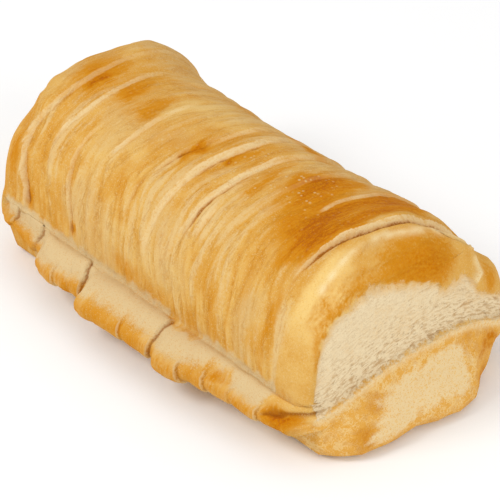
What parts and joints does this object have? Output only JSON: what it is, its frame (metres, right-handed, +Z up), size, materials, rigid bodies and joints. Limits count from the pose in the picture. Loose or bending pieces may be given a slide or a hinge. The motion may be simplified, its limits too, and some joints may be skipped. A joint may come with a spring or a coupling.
{
  "type": "tin loaf",
  "caption": "Long white tin loaf with a rolled domed crust, a soft skirt where the dough rose over the tin's rim, and one torn end that shows the crumb.",
  "frame": {"origin": "middle of the loaf's length and width, on the surface it rests on", "axes": "+X along the loaf towards the torn end, +Z up"},
  "size_m": [0.2682, 0.1614, 0.1029],
  "materials": {
    "crust": "matte, baked"
  },
  "bodies": {
    "root": {"loaf": "crust"}
  },
  "joints": []
}
